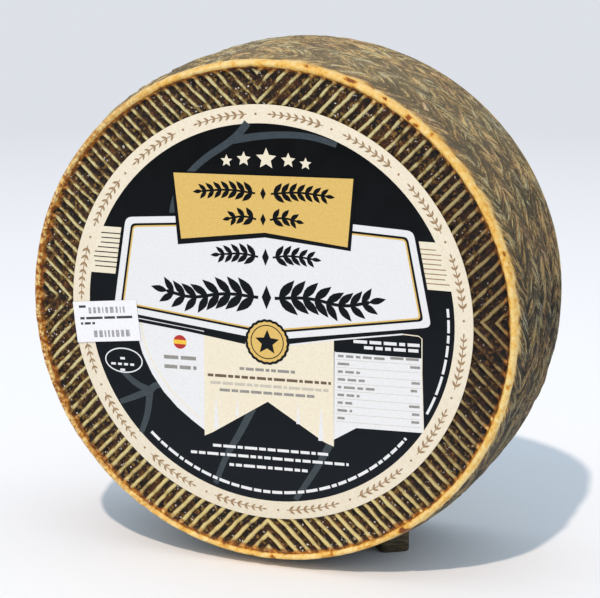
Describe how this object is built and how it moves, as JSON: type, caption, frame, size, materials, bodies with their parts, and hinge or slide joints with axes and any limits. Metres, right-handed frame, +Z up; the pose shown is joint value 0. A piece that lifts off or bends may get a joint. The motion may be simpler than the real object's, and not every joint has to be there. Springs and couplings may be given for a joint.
{
  "type": "cheese wheel",
  "caption": "Round cured cheese wheel with a pressed rind and a paper face label, standing on its edge between small wooden chocks.",
  "frame": {"origin": "on the floor under the wheel's axis, midway along its thickness", "axes": "+Z up; the wheel's axis is parallel to Y and the labelled face looks towards -Y; +X is to the right when the label is read"},
  "size_m": [0.211, 0.08, 0.2111],
  "materials": {
    "rind": "satin",
    "label_paper": "satin",
    "sticker_paper": "matte",
    "chock_wood": "matte"
  },
  "bodies": {
    "root": {"cheese_wheel": "rind", "face_label": "label_paper", "date_sticker": "sticker_paper", "chock_right": "chock_wood", "chock_left": "chock_wood"}
  },
  "joints": []
}
